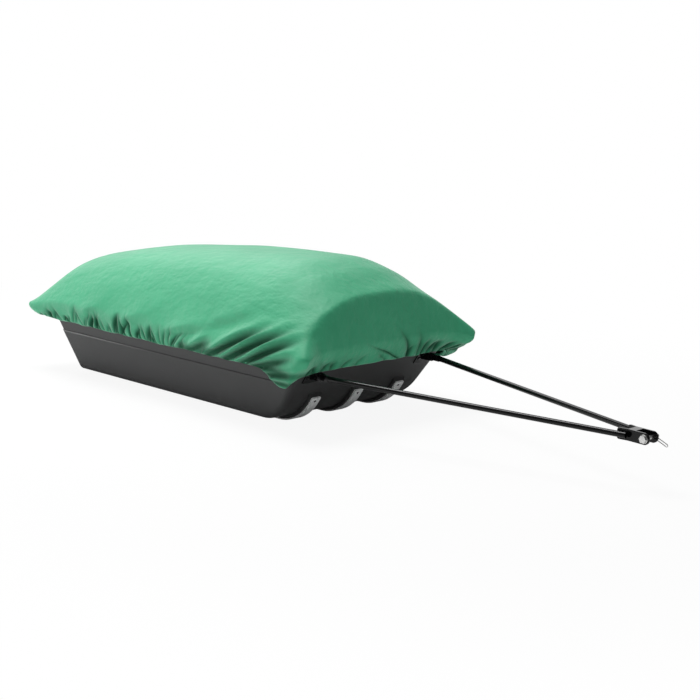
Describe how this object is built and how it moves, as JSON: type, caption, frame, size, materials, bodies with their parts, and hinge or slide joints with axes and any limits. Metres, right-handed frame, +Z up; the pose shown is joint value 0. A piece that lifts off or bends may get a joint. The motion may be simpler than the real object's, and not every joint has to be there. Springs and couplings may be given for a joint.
{
  "type": "utility ice sled",
  "caption": "Moulded tub sled on upturned keels with wear strips, a pitching V tow bar ending in a pinned clevis, and a domed fabric cover with an elastic hem.",
  "frame": {"origin": "ground level under the middle of the overall length, on the plane of symmetry", "axes": "+X forward towards the coupling, +Y to the sled's left, +Z up"},
  "size_m": [2.8552, 0.803, 0.5638],
  "materials": {
    "tub_plastic": "matte moulded polyethylene",
    "strip_grey": "smooth light grey wear plastic",
    "black_steel": "satin black powder coat",
    "zinc_steel": "bright zinc plate",
    "green_cloth": "woven coated polyester"
  },
  "bodies": {
    "sled": {"tub": "tub_plastic", "wear_strip_right": "strip_grey", "wear_strip_centre": "strip_grey", "wear_strip_left": "strip_grey", "hitch_bracket_right": "black_steel", "hitch_bracket_left": "black_steel", "pivot_bolt_right": "black_steel", "pivot_bolt_left": "black_steel", "cover": "green_cloth", "cover_hem": "green_cloth"},
    "drawbar": {"tow_bar_right": "black_steel", "tow_bar_left": "black_steel", "yoke_plate_right": "black_steel", "yoke_plate_left": "black_steel", "yoke_bridge": "black_steel", "hitch_pin": "zinc_steel", "hairpin_clip": "zinc_steel"}
  },
  "joints": [
    {"name": "drawbar_pitch", "type": "hinge", "parent": "sled", "child": "drawbar", "pos_m": [0.20614, 0, 0.202], "axis": [0, -1, 0], "range_deg": [-6.5, 40]}
  ]
}
